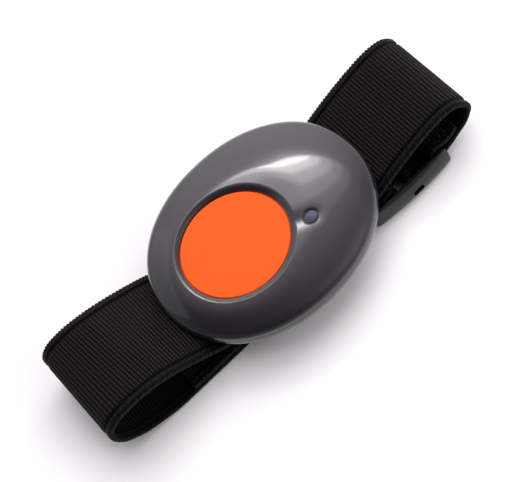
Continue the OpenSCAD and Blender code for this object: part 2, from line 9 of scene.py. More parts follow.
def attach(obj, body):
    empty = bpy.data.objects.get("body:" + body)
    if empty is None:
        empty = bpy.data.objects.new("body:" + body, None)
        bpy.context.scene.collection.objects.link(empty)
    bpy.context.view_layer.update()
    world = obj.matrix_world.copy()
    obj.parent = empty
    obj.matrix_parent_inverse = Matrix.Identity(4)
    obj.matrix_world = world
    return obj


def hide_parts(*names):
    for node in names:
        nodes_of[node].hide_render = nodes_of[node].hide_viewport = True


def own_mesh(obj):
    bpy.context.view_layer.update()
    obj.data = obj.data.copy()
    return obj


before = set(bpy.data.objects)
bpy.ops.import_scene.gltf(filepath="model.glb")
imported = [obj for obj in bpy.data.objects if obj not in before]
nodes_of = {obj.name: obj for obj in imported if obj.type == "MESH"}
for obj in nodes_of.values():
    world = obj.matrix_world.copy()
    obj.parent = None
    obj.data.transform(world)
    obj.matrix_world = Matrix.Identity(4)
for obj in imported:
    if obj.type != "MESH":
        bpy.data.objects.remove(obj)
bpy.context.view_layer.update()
MM = 0.001

# ---------------------------------------------------------------- viewpoint
# The photograph is taken from above the near edge of the band, turned so that the strap runs
# from the lower left to the upper right. Lens and distance follow the fitted outlines.
camera = bpy.data.objects.new("viewpoint", bpy.data.cameras.new("viewpoint"))
bpy.context.scene.collection.objects.link(camera)
camera.data.sensor_width = 36
camera.data.lens = 139.13
camera.data.clip_start = 0.02
camera.data.clip_end = 10
view_right = Vector((0.72678, -0.59013, -0.35150))
view_up = Vector((0.68481, 0.58266, 0.43769))
view_back = Vector((-0.05348, -0.55880, 0.82756))
view_target = Vector((-0.90, 0.21, 7.14)) * MM
view_distance = 400 * MM
camera.matrix_world = (Matrix.Translation(view_target + view_back * view_distance)
                       @ Matrix((view_right, view_up, view_back)).transposed().to_4x4())
bpy.context.scene.camera = camera

# ---------------------------------------------------------------- base shell
# The lower half of the housing, moulded in grey ABS. It carries the circuit board inside, and
# outside the channel for the strap between two rails that the strap plate is screwed to.
case_l, case_w, case_power, case_x = 51, 45.3, 2.1, 1.4
base_h, base_power, case_wall, floor_t = 3.6, 4, 1.5, 1
split_z, channel_z, roof_z = 8.95, 3.75, 5.35
parting_round = 0.14
seal_gap, seal_in, seal_w, seal_h = 0.04, 0.5, 0.55, 0.8
rail_r, channel_w, channel_wall, strap_play = 2.1, 26.2, 0.9, 0.15
boss_r, screw_bore_r = 1.5, 0.95
post_r, post_top, pilot_r, pilot_low, pilot_high = 1.6, 6.7, 0.65, 5.95, 7.6
screw_places = [(case_x + share * case_l, side * (channel_w / 2 + rail_r))
                for share in (-0.204, 0.235) for side in (-1, 1)]
post_places = [(case_x - 0.27 * case_l, 0.2 * case_w), (case_x + 0.24 * case_l, -0.23 * case_w)]
case_steps, bowl_rings, edge_rings = 288, 44, 5


def case_edge(turn, inset):
    """Points on the housing's egg-shaped outline, drawn in by inset."""
    c, s = np.cos(turn), np.sin(turn)
    half_l, half_w = case_l / 2 - inset, case_w / 2 - inset
    return np.stack([half_l * np.sign(c) * np.abs(c) ** (2 / case_power),
                     half_w * np.sign(s) * np.abs(s) ** (2 / case_power)], -1)


def quads(rows, columns, ring_rows=False):
    """The four-sided faces between rings of points, the last ring joined to the first where asked."""
    r, c = np.meshgrid(np.arange(rows if ring_rows else rows - 1), np.arange(columns), indexing="ij")
    r2, c2 = (r + 1) % rows, (c + 1) % columns
    return np.stack([r * columns + c, r * columns + c2, r2 * columns + c2, r2 * columns + c],
                    -1).reshape(-1, 4)


def piece(name, points, faces, smooth=35):
    """A mesh from points in millimetres, smooth but for edges sharper than the given angle."""
    mesh = bpy.data.meshes.new(name)
    mesh.from_pydata((np.asarray(points, float) * MM).tolist(), [], [list(map(int, f)) for f in faces])
    made = bpy.data.objects.new(name, mesh)
    bpy.context.scene.collection.objects.link(made)
    round_off(made, smooth)
    return made


def round_off(made, smooth):
    """Smooth shading, but for edges sharper than the given angle."""
    mesh = made.data
    mesh.validate()
    mesh.polygons.foreach_set("use_smooth", [True] * len(mesh.polygons))
    mesh.set_sharp_from_angle(angle=math.radians(smooth))
    mesh.update()


def turned_out(made):
    """Faces all look outwards."""
    work = bmesh.new()
    work.from_mesh(made.data)
    bmesh.ops.recalc_face_normals(work, faces=work.faces)
    work.to_mesh(made.data)
    work.free()
    return made


def even_steps(u, z, count, turn_weight=1.5):
    """A denser line through (u, z) is walked in even steps of its length and its turning."""
    du, dz = np.diff(u), np.diff(z)
    length = np.hypot(du, dz)
    heading = np.unwrap(np.arctan2(dz, du))
    turning = np.abs(np.diff(heading, prepend=heading[0]))
    walked = np.concatenate([[0], np.cumsum(length + turn_weight * turning)])
    at = np.linspace(0, walked[-1], count)
    return np.interp(at, walked, u), np.interp(at, walked, z)


def bowl(name, inset, depth, top, edge=0.0):
    """The rounded egg-shaped bowl from its rim down to the middle of its floor."""
    q = np.linspace(0, math.pi / 2, 4000)
    share, drop = np.cos(q) ** (2 / base_power), np.sin(q) ** (2 / base_power)
    u, z = even_steps((1 - share) * case_l / 2, -depth * drop, bowl_rings)
    share = np.clip(1 - u / (case_l / 2), 0, 1)
    rows = []
    turn = np.arange(case_steps) * 2 * math.pi / case_steps
    if edge:
        for a in np.radians(np.linspace(90, 0, edge_rings)[:-1]):
            rows.append((edge * (1 - math.cos(a)), 1, -edge * (1 - math.sin(a))))
        keep = z < -edge
        share, z = share[keep], z[keep]
    rows += [(0.0, s, h) for s, h in zip(share, z)]
    points = []
    for draw, s, h in rows:
        ring = case_edge(turn, inset + draw) * s
        points.append(np.column_stack([ring[:, 0] + case_x, ring[:, 1], np.full(len(ring), top + h)]))
    count = len(points)
    faces = [list(f) for f in quads(count, case_steps)]
    faces.append(list(range(case_steps))[::-1])
    faces.append([(count - 1) * case_steps + i for i in range(case_steps)])
    return turned_out(piece(name, np.concatenate(points), faces))


def prism(name, outline, low, high, along="z"):
    """A straight block of the given outline, along Z, or along Y from an outline in X and Z."""
    n = len(outline)
    flat = np.asarray(outline, float)
    ends = []
    for level in (low, high):
        column = np.full(n, level)
        ends.append(np.column_stack([flat[:, 0], flat[:, 1], column] if along == "z"
                                    else [flat[:, 0], column, flat[:, 1]]))
    faces = [[i, (i + 1) % n, n + (i + 1) % n, n + i] for i in range(n)]
    faces += [list(range(n))[::-1], list(range(n, 2 * n))]
    return turned_out(piece(name, np.concatenate(ends), faces))


def circle(x, y, r, steps=48):
    a = np.arange(steps) * 2 * math.pi / steps
    return np.column_stack([x + r * np.cos(a), y + r * np.sin(a)])


def joined(first, *others):
    """The pieces made into one mesh."""
    with bpy.context.temp_override(active_object=first, selected_editable_objects=[first, *others]):
        bpy.ops.object.join()
    return first


def carve(body, tool, how="DIFFERENCE"):
    """The body with the tool's shape cut away, or added where how says UNION."""
    cut = body.modifiers.new("cut", "BOOLEAN")
    cut.object, cut.operation, cut.solver = tool, how, "EXACT"
    shaped = bpy.data.meshes.new_from_object(body.evaluated_get(bpy.context.evaluated_depsgraph_get()))
    body.modifiers.clear()
    old, body.data = body.data, shaped
    shaped.name = body.name
    bpy.data.meshes.remove(old)
    bpy.data.objects.remove(tool)
    return body


def smooth_path(points, steps):
    """A smooth line through given points, as the CAD source draws it."""
    p = np.asarray(points, float)
    n = len(p)
    made = []
    for i in range(n - 1):
        a, b, c, d = p[max(0, i - 1)], p[i], p[i + 1], p[min(n - 1, i + 2)]
        for k in range(steps):
            t = k / steps
            made.append(0.5 * (2 * b + (c - a) * t + (2 * a - 5 * b + 4 * c - d) * t * t
                               + (3 * b - a - 3 * c + d) * t ** 3))
    made.append(p[-1])
    return np.array(made)


def beside(line, off):
    """The line moved sideways, square to its own direction."""
    step = np.empty_like(line)
    step[1:-1] = line[2:] - line[:-2]
    step[0], step[-1] = line[1] - line[0], line[-1] - line[-2]
    step /= np.linalg.norm(step, axis=1)[:, None]
    return line + np.column_stack([-step[:, 1], step[:, 0]]) * off


strap_t, channel_mid, left_top, right_top = 1.3, 4.55, 13.0, 11.5
band_half = 48.35


def place_on(side, share):
    """The CAD source's place along the band, which keeps clear of the housing's edge."""
    edge, edge_share = (24.1, 0.5047) if side < 0 else (26.9, 0.5634)
    return side * (share / edge_share * edge if share < edge_share
                   else edge + (share - edge_share) / (1 - edge_share) * (band_half - edge))


left_rise = [(place_on(-1, s), channel_mid + h * (left_top - channel_mid)) for s, h in (
    (.23, 0), (.293, 0), (.356, .012), (.419, .097), (.53, .44), (.685, .83), (.817, 1))]
right_rise = [(place_on(1, s), channel_mid + h * (right_top - channel_mid)) for s, h in (
    (.2, 0), (.252, 0), (.335, .02), (.419, .14), (.503, .34), (.593, .565), (.672, .73), (.777, .906),
    (.875, 1))]
channel_line = smooth_path(left_rise[4::-1] + right_rise[:7], 12)


def channel_block(name, above, width):
    """The strap's way through the housing, down to the table."""
    top = beside(channel_line, strap_t / 2 + strap_play + above)
    outline = np.concatenate([top, [[top[-1, 0], 0], [top[0, 0], 0]]])
    return prism(name, outline, -width / 2, width / 2, along="y")


base = bowl("base_housing", 0, base_h, split_z, edge=parting_round)
rail_ends = (screw_places[0][0], screw_places[2][0])
for side in (-1, 1):
    half = np.linspace(math.pi / 2, 3 * math.pi / 2, 25)
    y = side * (channel_w / 2 + rail_r)
    left_round = np.column_stack([rail_ends[0] + rail_r * np.cos(half), y + rail_r * np.sin(half)])
    right_round = np.column_stack([rail_ends[1] - rail_r * np.cos(half), y - rail_r * np.sin(half)])
    rail = prism("rail", np.concatenate([left_round, right_round]), channel_z, roof_z + floor_t)
    base = carve(base, rail, "UNION")
hollow = bowl("hollow", case_wall, base_h - floor_t, split_z + seal_gap)
hollow = carve(hollow, channel_block("lining", channel_wall, channel_w + 2 * channel_wall))
bosses = joined(*[prism("boss", circle(x, y, boss_r), roof_z, split_z + 1) for x, y in screw_places],
                *[prism("post", circle(x, y, post_r), roof_z, post_top) for x, y in post_places])
hollow = carve(hollow, bosses)
base = carve(base, hollow)
case_turns = np.arange(case_steps) * 2 * math.pi / case_steps
outer_ring = prism("groove", case_edge(case_turns, seal_in - seal_gap) + [case_x, 0],
                   split_z - seal_h / 2 - seal_gap, split_z + 1)
inner_ring = prism("core", case_edge(case_turns, seal_in + seal_w + seal_gap) + [case_x, 0],
                   split_z - 1, split_z + 2)
base = carve(base, carve(outer_ring, inner_ring))
path = channel_block("strap_path", 0, channel_w)
below = prism("below", [(-40, -40), (40, -40), (40, 40), (-40, 40)], -1, channel_z - strap_play)
base = carve(base, carve(path, below))
holes = joined(*[prism("hole", circle(x, y, screw_bore_r), 2, split_z + 1) for x, y in screw_places],
               *[prism("pilot", circle(x, y, pilot_r), pilot_low, pilot_high) for x, y in post_places])
base = carve(base, holes)
round_off(base, 30)
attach(base, "band")
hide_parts("base_shell")


def material(name, colour, roughness, mottle=0.06, grain=900, depth=0.0, metal=0.0, coat=0.0,
             coat_rough=0.05, spread=0.08, specular=0.5):
    """A finish with slightly uneven colour and gloss, and a fine surface grain."""
    made = bpy.data.materials.new(name)
    made.use_nodes = True
    nodes, links = made.node_tree.nodes, made.node_tree.links
    shader = nodes["Principled BSDF"]
    shader.inputs["Metallic"].default_value = metal
    shader.inputs["Coat Weight"].default_value = coat
    shader.inputs["Coat Roughness"].default_value = coat_rough
    shader.inputs["Specular IOR Level"].default_value = specular
    place = nodes.new("ShaderNodeTexCoord")
    patch = nodes.new("ShaderNodeTexNoise")
    patch.inputs["Scale"].default_value = grain / 6
    patch.inputs["Detail"].default_value = 4
    links.new(place.outputs["Object"], patch.inputs["Vector"])
    tone = nodes.new("ShaderNodeValToRGB")
    for stop, share in zip(tone.color_ramp.elements, (1 - mottle, 1 + mottle)):
        stop.color = (*[min(1, c * share) for c in colour], 1)
    tone.color_ramp.elements[0].position, tone.color_ramp.elements[1].position = 0.3, 0.7
    links.new(patch.outputs["Fac"], tone.inputs["Fac"])
    links.new(tone.outputs["Color"], shader.inputs["Base Color"])
    dull = nodes.new("ShaderNodeMapRange")
    dull.inputs["To Min"].default_value = roughness * (1 - spread)
    dull.inputs["To Max"].default_value = roughness * (1 + spread)
    links.new(patch.outputs["Fac"], dull.inputs["Value"])
    links.new(dull.outputs["Result"], shader.inputs["Roughness"])
    if depth:
        fine = nodes.new("ShaderNodeTexNoise")
        fine.inputs["Scale"].default_value = grain * 4
        fine.inputs["Detail"].default_value = 3
        links.new(place.outputs["Object"], fine.inputs["Vector"])
        bump = nodes.new("ShaderNodeBump")
        bump.inputs["Distance"].default_value = depth * MM
        bump.inputs["Strength"].default_value = 0.6
        links.new(fine.outputs["Fac"], bump.inputs["Height"])
        links.new(bump.outputs["Normal"], shader.inputs["Normal"])
    return made


def dress(made, *looks):
    """The piece with these finishes in its material slots."""
    made.data.materials.clear()
    for look in looks:
        made.data.materials.append(look)


shell_grey = (0.0145, 0.0132, 0.0165)
shell_finish = material("moulded_grey", shell_grey, 0.16, mottle=0.03, depth=0.002, coat=0.9,
                        coat_rough=0.05)
dress(base, shell_finish)

# ---------------------------------------------------------------- circuit board and its parts
# A fibreglass board with solder resist, held to two posts of the base shell by small screws.
# The key switch, cell, chips and sounder are soldered to it and stay as the CAD made them.
dress(nodes_of["circuit_board"], material("solder_resist", (0.02, 0.13, 0.05), 0.35, mottle=0.3,
                                          grain=4000))
dress(nodes_of["key_switch"], material("switch_case", (0.55, 0.55, 0.57), 0.3, metal=1, depth=0.004))
dress(nodes_of["switch_plunger"], material("plunger_nylon", (0.02, 0.02, 0.022), 0.45, depth=0.006))
dress(nodes_of["indicator_led"], material("led_body", (0.75, 0.7, 0.55), 0.35, mottle=0.1))
dress(nodes_of["coin_cell"], material("cell_steel", (0.66, 0.66, 0.68), 0.22, metal=1, depth=0.003))
dress(nodes_of["cell_holder"], material("holder_nylon", (0.02, 0.02, 0.022), 0.5, depth=0.006))
brass_finish = material("contact_brass", (0.74, 0.54, 0.24), 0.25, metal=1, depth=0.003)
for name in ("positive_contact", "negative_contact", "antenna"):
    dress(nodes_of[name], brass_finish)
chip_finish = material("chip_resin", (0.014, 0.014, 0.015), 0.5, mottle=0.15, grain=5000, depth=0.004)
for name in ("radio_chip", "controller_chip", "resistors"):
    dress(nodes_of[name], chip_finish)
dress(nodes_of["crystal"], material("crystal_can", (0.7, 0.7, 0.72), 0.25, metal=1, depth=0.002))
dress(nodes_of["buzzer"], material("sounder_case", (0.02, 0.02, 0.02), 0.4, depth=0.006))
dress(nodes_of["capacitors"], material("capacitor_ceramic", (0.62, 0.5, 0.33), 0.4, mottle=0.12,
                                       grain=4000))
dress(nodes_of["board_screws"], material("screw_zinc", (0.6, 0.6, 0.62), 0.3, metal=1, depth=0.004))

# ---------------------------------------------------------------- seals
# A round silicone cord is squeezed in the parting line between the cover and the base. It keeps
# water out of the housing, and stays as the CAD made it.
rubber_finish = material("silicone", (0.018, 0.018, 0.019), 0.6, mottle=0.1, depth=0.01)
dress(nodes_of["case_seal"], rubber_finish)

# ---------------------------------------------------------------- top cover
# The glossy upper half of the housing, one thin moulding. A sloped lip surrounds the button's
# hole, and a shallow neck runs from it to the small round recess of the indicator.
cover_h, cover_power, lip_share = 3.5, 2.8, 0.92
button_x, hole_r, lip_w, lip_drop, lip_ease = -4.5, 12.15, 0.65, 0.42, 0.5
lip_z = split_z + cover_h * lip_share
plateau_in, plateau_out, levelled = 13.0, 18.5, 0.55
pocket_r, pocket_z = 13.15, lip_z - 0.95
cover_boss_bore_r, cover_boss_h = 0.85, 1.8
lens_x, lens_y, lens_r = 10.1, -8.0, 1.38
neck_depth, neck_half, neck_fade = 0.15, 1.8, 1.6
cover_steps, cover_rings, inner_rings = 540, 120, 22


def blend_low(a, b, width):
    """The lower of two heights, with the crease between them eased."""
    k = np.clip(0.5 + 0.5 * (b - a) / width, 0, 1)
    return b * (1 - k) + a * k - width * k * (1 - k)


def egg_reach(x, y, inset):
    """How far out a point is, from 0 in the middle of the housing to 1 on its outline."""
    return (np.abs((x - case_x) / (case_l / 2 - inset)) ** case_power
            + np.abs(y / (case_w / 2 - inset)) ** case_power) ** (1 / case_power)


def crown(x, y):
    """The height of the housing's crown, levelled round the button."""
    reach = egg_reach(x, y, 0)
    rise = cover_h * np.maximum(0, 1 - np.minimum(1, reach) ** cover_power) ** (1 / cover_power)
    near = np.clip((plateau_out - np.hypot(x - button_x, y)) / (plateau_out - plateau_in), 0, 1)
    near = near * near * (3 - 2 * near) * levelled
    return split_z + rise * (1 - near) + cover_h * lip_share * near


def cover_top(x, y):
    """The crown's height with the button's lip and the indicator's neck in it."""
    away = np.hypot(x - button_x, y)
    way = np.array([lens_x - button_x, lens_y])
    reach = np.linalg.norm(way)
    way = way / reach
    along = (x - button_x) * way[0] + y * way[1]
    across = -(x - button_x) * way[1] + y * way[0]
    past = np.maximum(0, along - reach - 0.6) / neck_fade
    trough = neck_depth * np.exp(-(across / neck_half) ** 2 - past ** 2) * (along > 0)
    slope = lip_z - lip_drop + (away - hole_r) * lip_drop / lip_w
    return blend_low(crown(x, y) - trough, slope, lip_ease)


def edge_away(turn, inset):
    """How far the outline lies from the button's middle in each direction."""
    low, high = np.zeros_like(turn), np.full_like(turn, 60.0)
    for _ in range(50):
        mid = (low + high) / 2
        x, y = button_x + mid * np.cos(turn) - case_x, mid * np.sin(turn)
        inside = (np.abs(x / (case_l / 2 - inset)) ** case_power
                  + np.abs(y / (case_w / 2 - inset)) ** case_power) < 1
        low, high = np.where(inside, mid, low), np.where(inside, high, mid)
    return low


turns = np.arange(cover_steps) * 2 * math.pi / cover_steps
rims = {inset: edge_away(turns, inset) for inset in (0, parting_round, seal_in - seal_gap,
                                                     seal_in + seal_w + seal_gap, case_wall)}
slices = []
for i, turn in enumerate(turns):
    c, s = math.cos(turn), math.sin(turn)
    far = rims[0][i]
    w = np.linspace(1, 0, 1600)
    t = far - (far - hole_r) * w ** 2
    z = cover_top(button_x + t * c, t * s)
    eased = parting_round * (1 - np.sqrt(np.clip(1 - (1 - (z - split_z) / parting_round) ** 2, 0, 1)))
    t = np.where(z - split_z < parting_round, t - eased, t)
    t, z = even_steps(t, z, cover_rings, 1.2)
    wall_in = rims[case_wall][i]
    q = np.linspace(0.02, math.pi / 2, inner_rings)
    inner_t = pocket_r + (wall_in - pocket_r) * np.cos(q) ** (2 / cover_power)
    reach = np.minimum(1, egg_reach(button_x + inner_t * c, inner_t * s, case_wall))
    inner_rise = np.maximum(0, 1 - reach ** cover_power) ** (1 / cover_power)
    inner_z = split_z + (cover_h - case_wall) * inner_rise
    groove_a, groove_b = rims[seal_in - seal_gap][i], rims[seal_in + seal_w + seal_gap][i]
    groove_z = split_z + seal_h / 2 + seal_gap
    t = np.concatenate([[hole_r, hole_r], t, [groove_a, groove_a, groove_b, groove_b, wall_in], inner_t,
                        [pocket_r, hole_r]])
    z = np.concatenate([[pocket_z + 0.02, lip_z - lip_drop - 0.06], z,
                        [split_z, groove_z, groove_z, split_z, split_z], inner_z, [pocket_z, pocket_z]])
    slices.append(np.column_stack([button_x + t * c, t * s, z]))
rings = np.stack(slices, 1)
cover = turned_out(piece("top_housing", rings.reshape(-1, 3),
                         quads(rings.shape[0], cover_steps, ring_rows=True)))


def lathe(name, profile, x, y, steps=96, smooth=35):
    """A turned solid from (radius, height) pairs, closed at the axis where the radius is zero."""
    a = np.arange(steps) * 2 * math.pi / steps
    points, rows = [], []
    for r, z in profile:
        if r <= 1e-6:
            rows.append([len(points)] * steps)
            points.append((x, y, z))
        else:
            rows.append(list(range(len(points), len(points) + steps)))
            points += [(x + r * math.cos(t), y + r * math.sin(t), z) for t in a]
    faces = []
    for low, high in zip(rows, rows[1:]):
        for i in range(steps):
            face = [low[i], low[(i + 1) % steps], high[(i + 1) % steps], high[i]]
            faces.append(list(dict.fromkeys(face)))
    return turned_out(piece(name, points, faces, smooth))


lens_top = float(cover_top(np.array([lens_x]), np.array([lens_y]))[0])
recess_z = lens_top - 0.14
lens_hole_r, pit_r = 1.42, 1.98
pit_line = ((lens_hole_r, -0.15), (1.5, -0.15), (1.53, 0), (1.6, 0.07), (1.7, 0.12), (1.82, 0.15),
            (pit_r, 0.18))
pit = lathe("pit", [(0, split_z), (lens_hole_r, split_z)] + [(r, recess_z + h) for r, h in pit_line]
            + [(pit_r, lens_top + 1), (0, lens_top + 1)], lens_x, lens_y)
cover = carve(cover, pit)
tube_line = [(r, split_z + h * cover_boss_h) for r, h in (
    (cover_boss_bore_r, 0), (boss_r, 0), (boss_r, 1), (cover_boss_bore_r, 1), (cover_boss_bore_r, 0))]
tubes = [lathe("cover_boss", tube_line, x, y, 32) for x, y in screw_places]
round_off(cover, 32)
cover = joined(cover, *tubes)
dress(cover, shell_finish)
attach(cover, "band")
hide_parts("top_cover")

# ---------------------------------------------------------------- button
# One orange moulding with a satin face and a softened rim. Its hidden flange stays behind the
# cover's lip, and a nub under its middle rests on the key switch. A silicone ring on the switch
# presses it back up against the cover.
face_z, button_t, button_r, button_edge, nub_r = lip_z - 0.5, 1, 11.9, 0.22, 2
button_z = face_z - button_t
rim = [(button_r - button_edge * (1 - math.cos(a)), face_z - button_edge * (1 - math.sin(a)))
       for a in np.radians(np.linspace(0, 90, 9))]
nub_h, flange_r, flange_t = 0.4, 12.9, 0.5
cap = lathe("button_face", [(0, button_z - nub_h), (nub_r, button_z - nub_h), (nub_r, button_z),
                            (flange_r, button_z), (flange_r, button_z + flange_t),
                            (button_r, button_z + flange_t)] + rim + [(r, face_z) for r in (9, 6, 3, 0)],
            button_x, 0, 256)
dress(cap, material("satin_orange", (1.0, 0.107, 0.0072), 0.5, mottle=0.015, grain=700, depth=0.006,
                    specular=0.2))
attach(cap, "button")
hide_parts("button_cap")
ring_low, ring_top, ring_in, ring_out = 9.6, button_z - 0.01, 2.5, 3.1
ring_ease, press = 0.12, 0.4
ring = lathe("silicone_ring", [(ring_in, ring_low), (ring_out, ring_low),
                               (ring_out, ring_top - ring_ease), (ring_out - ring_ease, ring_top),
                               (ring_in + ring_ease, ring_top), (ring_in, ring_top - ring_ease),
                               (ring_in, ring_low)], button_x, 0)
dress(ring, rubber_finish)
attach(ring, "band")
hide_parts("return_ring")
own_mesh(ring)

# ---------------------------------------------------------------- indicator lens
# A smoked light guide pressed into the cover from inside. Its stem stands over the LED, and its
# slightly domed face lies just below the cover's surface.
lens_face = lens_top - 0.05
guide_low, guide_z, stem_r, collar_r, collar_t = 8.4, 10.03, 1, 1.95, 0.4
face_line = ((lens_r, -0.07), (1.35, -0.02), (1.29, 0), (0.75, 0.01), (0.55, 0.04), (0.3, 0.07),
             (0, 0.08))
guide = lathe("light_guide", [(0, guide_low), (stem_r, guide_low), (stem_r, guide_z),
                              (collar_r, guide_z), (collar_r, guide_z + collar_t),
                              (lens_r, guide_z + collar_t)]
              + [(r, lens_face + h) for r, h in face_line], lens_x, lens_y, 72)
dress(guide, material("smoked_violet", (0.05, 0.047, 0.085), 0.3, mottle=0.05))
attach(guide, "band")
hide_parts("indicator_lens")

# ---------------------------------------------------------------- strap plate and screws
# The plate closes the strap's channel from below. Four screws go up through it, the base's rails
# and into the cover, so they hold the whole housing together.
plate_bevel = nodes_of["strap_plate"].modifiers.new("eased", "BEVEL")
plate_bevel.width, plate_bevel.segments, plate_bevel.angle_limit = 0.12 * MM, 2, math.radians(50)
dress(nodes_of["strap_plate"], shell_finish)
dress(nodes_of["case_screws"], material("screw_steel", (0.62, 0.62, 0.64), 0.28, metal=1,
                                        depth=0.004))

# ---------------------------------------------------------------- elastic strap
# One length of black ribbed elastic, woven with rubber and rolled at both edges. It is sewn
# round the buckle's end bar, runs over through the housing, back along the table, and its free
# end doubles back from the clamp bar.
strap_w, strap_near, strap_far, run_z = 25, 12.5, 12.9, strap_t / 2
clamp_bar, end_bar, wrap_r = (24.6, 2.95), (38.0, 3.4), 1.65
tail_z, tail_l = run_z + strap_t + 0.05, 54.6
lap_l = 0.57 * (band_half - end_bar[0])
end_top, end_low, clamp_top = end_bar[1] + wrap_r, end_bar[1] - wrap_r, clamp_bar[1] + wrap_r


def wrap(bar, start):
    """Half a turn of the strap's middle line round a bar."""
    return [(bar[0] + wrap_r * math.cos(math.radians(a)), bar[1] + wrap_r * math.sin(math.radians(a)))
            for a in range(start, start + 181, 30)]


sewn_end = [(end_bar[0] + s * lap_l, end_top + h * strap_t)
            for s, h in ((1, .68), (.66, -.06), (.34, -.2))]
right_fall = [(place_on(1, s), end_low + h * (right_top - end_low)) for s, h in (
    (.84, .075), (.888, .172), (.956, .333), (.9975, .566), (.991, .737), (.951, .935))]
end_lead = [(end_bar[0] + 0.45 * (right_fall[0][0] - end_bar[0]),
             end_low + 0.2 * (right_fall[0][1] - end_low))]
left_fall = [(place_on(-1, s), run_z + h * (left_top - run_z)) for s, h in (
    (.928, .985), (.9885, .84), (1, .651), (.982, .453), (.94, .289), (.869, .142), (.764, .034),
    (.71, .006), (.67, 0), (.62, 0))]
buckle_left = 19.15
bottom_run = [(x, run_z) for x in (-band_half / 3, 0, buckle_left * 0.5, buckle_left * 0.8,
                                   buckle_left - strap_t)] + [
    (clamp_bar[0] - s * wrap_r, run_z + h * (clamp_bar[1] - wrap_r - run_z)) for s, h in (
        (2.6, .12), (1.7, .45), (.8, .85))]
tail = [(clamp_bar[0] - s * tail_l, tail_z + h * (clamp_top - tail_z)) for s, h in (
    (.04, .67), (.079, .27), (.12, .045), (.167, 0), (.5, 0), (1, 0))]
route = smooth_path(sewn_end + wrap(end_bar, 90) + end_lead + right_fall + right_rise[::-1] + left_rise
                    + left_fall + bottom_run + wrap(clamp_bar, -90) + tail, 16)
rib_pitch, rib_steps = 0.77, 6
walked = np.concatenate([[0], np.cumsum(np.linalg.norm(np.diff(route, axis=0), axis=1))])
rib_count = int(walked[-1] / rib_pitch)
stations = np.linspace(0, walked[-1], rib_count * rib_steps + 1)
centre = np.column_stack([np.interp(stations, walked, route[:, k]) for k in (0, 1)])
aside = beside(centre, 1.0) - centre
rib = np.abs(np.sin(np.arange(len(stations)) * math.pi / rib_steps))

# Across the strap from each edge: the places, the half thickness and the ribs of the rolled hem.
hem_in = np.array([0, .05, .15, .3, .48, .66, .84, 1.02, 1.18, 1.34, 1.5, 1.66, 1.84, 2.05, 2.4])
field_half, field_rib = 0.48, 0.22
hem_half = np.array([.0, .26, .44, .57, .63, .63, .6, .62, .63, .6, .52, .38, .33, .42, .47])
hem_ribbed = np.array([0, .02, .03, .03, .03, .03, .03, .03, .03, .03, .04, .04, .03, .12, .2])
field = np.linspace(2.8, strap_w - 2.8, 11)
frayed = np.random.default_rng(7)


def both_hems(hem, middle):
    """Values across the strap: one hem, the ribbed field, and the same hem mirrored."""
    return np.concatenate([hem, np.full(len(field), middle), hem[::-1]])


across = np.concatenate([hem_in, field, strap_w - hem_in[::-1]]) - strap_w / 2
across = np.where(across > 0, across * strap_far / (strap_w / 2), across * strap_near / (strap_w / 2))
half_t, ribbed = both_hems(hem_half, field_half), both_hems(hem_ribbed, field_rib)
loop_low, loop_rise, skew_start, most_skew = 5.2, 6.5, 20, 1.1
loop_share = np.clip((centre[:, 1] - loop_low) / loop_rise, 0, 1)
loop_twist = np.where(centre[:, 0] < 0, 0.2, 0.45) * loop_share
loop_raise = np.where(centre[:, 0] < 0, 0.0, 0.15) * loop_share
left_share = np.clip((-centre[:, 0] - skew_start) / (band_half - skew_start), 0, 1)
loop_skew = most_skew * np.sin(math.pi * left_share ** 1.4) * loop_share
ragged, tooth, tooth_in, edge_zone = 0.05, 0.26, 0.08, 0.35
over, under = [], []
for y, h, r in zip(across, half_t, ribbed):
    lift = np.column_stack([-loop_skew * y / (strap_w / 2),
                            loop_raise - loop_twist * y / (strap_w / 2)])
    for side, kept in ((1, over), (-1, under)):
        edge = centre + lift + aside * (side * (h + r * rib))[:, None]
        loose = ragged * frayed.uniform(-1, 1, len(edge)) + (y > 0) * (tooth * rib - tooth_in)
        loose = loose * (strap_w / 2 - abs(y) < edge_zone)
        kept.append(np.column_stack([edge[:, 0], y + loose, edge[:, 1]]))
loop = over + under[-2:0:-1]
strap_points = np.stack(loop, 1)
length_count, round_count = strap_points.shape[:2]
strap_faces = [list(f) for f in quads(length_count, round_count)]
strap_faces += [list(range(round_count))[::-1],
                [(length_count - 1) * round_count + i for i in range(round_count)]]
strap = turned_out(piece("elastic_band", strap_points.reshape(-1, 3), strap_faces, 80))
# The strap's attribute holds the place along and across the weave, and in Z the tone with its painted
# highlights and painted shade.
weave_place_and_painted_light = strap.data.attributes.new("weave_place_and_painted_light", "FLOAT_VECTOR", "POINT")
spread_y = np.array([p[0, 1] for p in loop])
weave_and_painted_light = np.zeros((length_count, round_count, 3))
weave_and_painted_light[..., 0] = stations[:, None]
weave_and_painted_light[..., 1] = spread_y[None, :]

# Painted light across the hem at the near and the far edge: the light tones paint highlights on the
# rolled cords, and the dark dip paints shade in the groove beside them. Then how deep the painted shade
# between the ribs is across the hem.
near_hem_painted_light = np.array([1, .95, .75, .5, .42, .45, .6, .7, .75, .65, .4, .1, .05, .15, .8])
far_hem_painted_light = np.array([.6, .7, .85, .95, .95, .9, .8, .8, .85, .75, .45, .1, .05, .15, .8])
